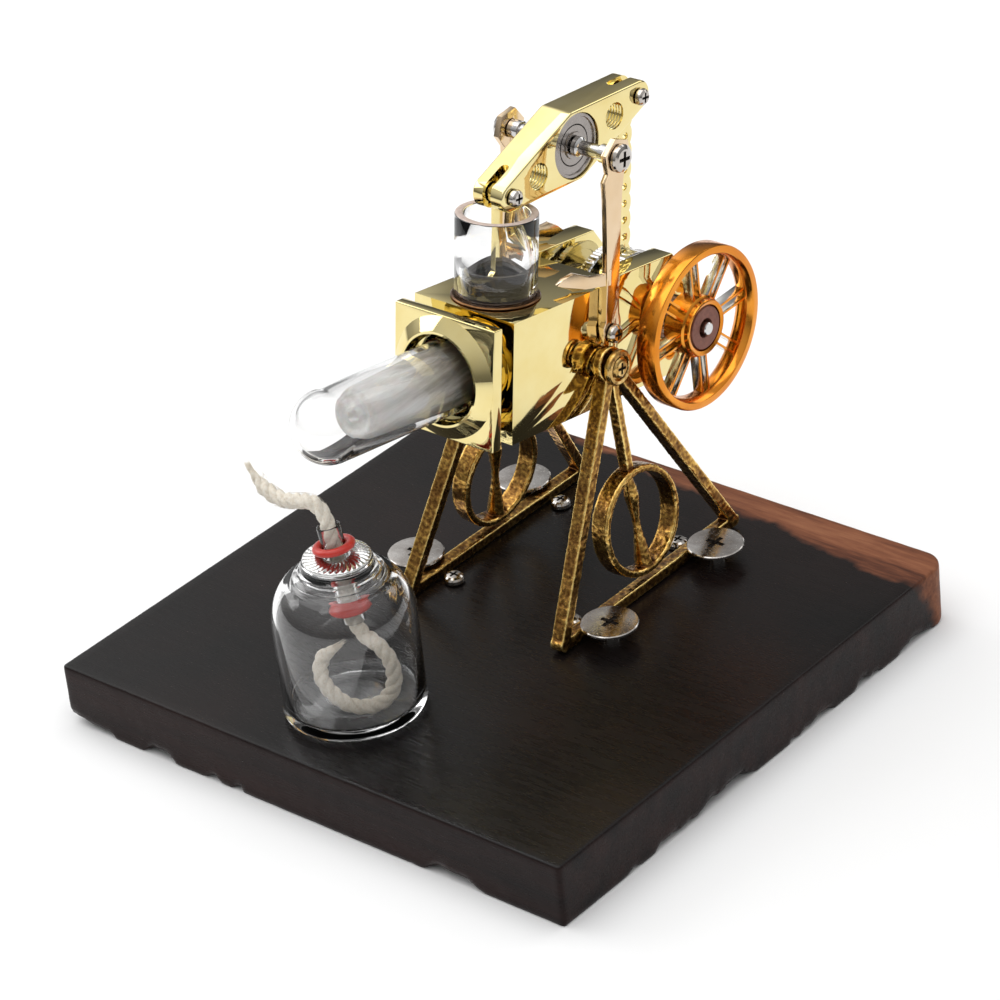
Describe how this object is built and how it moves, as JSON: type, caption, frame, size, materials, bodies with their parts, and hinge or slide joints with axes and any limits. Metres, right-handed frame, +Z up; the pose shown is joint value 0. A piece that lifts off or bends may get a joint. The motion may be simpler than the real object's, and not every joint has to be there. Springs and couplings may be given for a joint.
{
  "type": "stirling_engine_model",
  "caption": "Desk-top beam Stirling engine with a glass hot cap, spoked flywheel and cast leg frames on a wooden base, with a glass spirit lamp beneath the hot end.",
  "frame": {"origin": "centre of the wooden base's underside", "axes": "+X from the lamp and hot end towards the flywheel and crank end; +Y away from the flywheel's side; +Z up. The engine hangs between its leg frames, pitched nose-up by 9.5 degrees about +Y"},
  "size_m": [0.15, 0.154, 0.1339],
  "materials": {
    "wood": "satin",
    "bronze": "aged",
    "gold": "polished",
    "rose_gold": "polished",
    "steel": "satin",
    "glass": "clear",
    "frosted": "frosted",
    "graphite": "matte",
    "orange": "anodised",
    "brown": "anodised",
    "red_rubber": "matte",
    "cotton": "twisted"
  },
  "bodies": {
    "frame": {"wood_base": "wood", "clamp_screw_near_front": "steel", "clamp_screw_near_rear": "steel", "clamp_screw_far_front": "steel", "clamp_screw_far_rear": "steel", "frame_screw_near_front": "steel", "frame_screw_near_rear": "steel", "frame_screw_far_front": "steel", "frame_screw_far_rear": "steel", "leg_frame_near": "bronze", "leg_frame_far": "bronze", "trunnion_disc_near": "bronze", "trunnion_disc_far": "bronze", "trunnion_screw_near": "steel", "trunnion_screw_far": "steel", "cylinder_block": "gold", "hot_end_flange": "gold", "tube_seal_ring": "red_rubber", "hot_cap_tube": "glass", "rod_guide": "gold", "cylinder_seat_ring": "gold", "power_cylinder": "glass", "pillar_near": "rose_gold", "pillar_far": "rose_gold", "pillar_screw_near": "steel", "pillar_screw_far": "steel", "axle_screw_near": "steel", "axle_screw_far": "steel", "beam_axle": "steel", "beam_bearing_inner": "steel", "yoke_back_plate": "gold", "bearing_arm_near": "gold", "bearing_arm_far": "gold", "shaft_bearing_near": "steel", "shaft_bearing_far": "steel"},
    "flywheel": {"flywheel": "orange", "flywheel_hub_insert": "brown", "crankshaft_near": "steel", "crankshaft_far": "steel", "crank_disc_near": "steel", "crank_disc_far": "steel"},
    "beam": {"beam": "gold", "beam_bearing_outer": "steel", "beam_pin_front": "steel", "beam_pin_rear": "steel"},
    "con_rod": {"power_con_rod": "gold"},
    "piston_rod": {"piston_rod": "gold"},
    "piston": {"power_piston": "graphite", "wrist_pin": "steel"},
    "displacer": {"displacer": "frosted", "displacer_rod": "steel", "displacer_clevis": "gold", "clevis_pin": "steel"},
    "displacer_link": {"displacer_link": "gold"},
    "lamp": {"lamp_bottle": "glass"},
    "stopper": {"lamp_cap": "steel", "wick_tube": "glass", "wick_seal_upper": "red_rubber", "wick_seal_lower": "red_rubber", "wick": "cotton"}
  },
  "joints": [
    {"name": "flywheel_spin", "type": "hinge", "parent": "frame", "child": "flywheel", "pos_m": [0.05332, 0.001, 0.07513], "axis": [0, 1, 0], "continuous": true},
    {"name": "beam_rock", "type": "hinge", "parent": "frame", "child": "beam", "pos_m": [0.03734, 0.001, 0.12506], "axis": [0, 1, 0], "range_deg": [0, 29]},
    {"name": "con_rod_swing", "type": "hinge", "parent": "beam", "child": "con_rod", "pos_m": [0.06119, 0.001, 0.12777], "axis": [0, 1, 0], "range_deg": [-29.5, 0.5]},
    {"name": "piston_rod_swing", "type": "hinge", "parent": "beam", "child": "piston_rod", "pos_m": [0.0135, 0.001, 0.12234], "axis": [0, 1, 0], "range_deg": [-29.5, 0.5]},
    {"name": "piston_slide", "type": "slide", "parent": "frame", "child": "piston", "axis": [0.165, 0, 0.9863], "range_m": [-0.0001, 0.0122]},
    {"name": "displacer_slide", "type": "slide", "parent": "frame", "child": "displacer", "axis": [0.9863, 0, -0.165], "range_m": [-0.006, 0.006]},
    {"name": "displacer_link_swing", "type": "hinge", "parent": "displacer", "child": "displacer_link", "pos_m": [0.04084, 0.001, 0.07722], "axis": [0, 1, 0], "range_deg": [0, 50]},
    {"name": "lamp_slide", "type": "slide", "parent": "frame", "child": "lamp", "axis": [0, -1, 0], "range_m": [0, 0.05]},
    {"name": "stopper_lift", "type": "slide", "parent": "lamp", "child": "stopper", "axis": [0, 0, 1], "range_m": [0, 0.008], "deforming": ["wick"]}
  ],
  "couplings": [
    {"joint": "con_rod_swing", "follows": "beam_rock", "ratio": -1},
    {"joint": "piston_rod_swing", "follows": "beam_rock", "ratio": -1},
    {"joint": "piston_slide", "follows": "beam_rock", "m_per_rad": 0.0237}
  ]
}
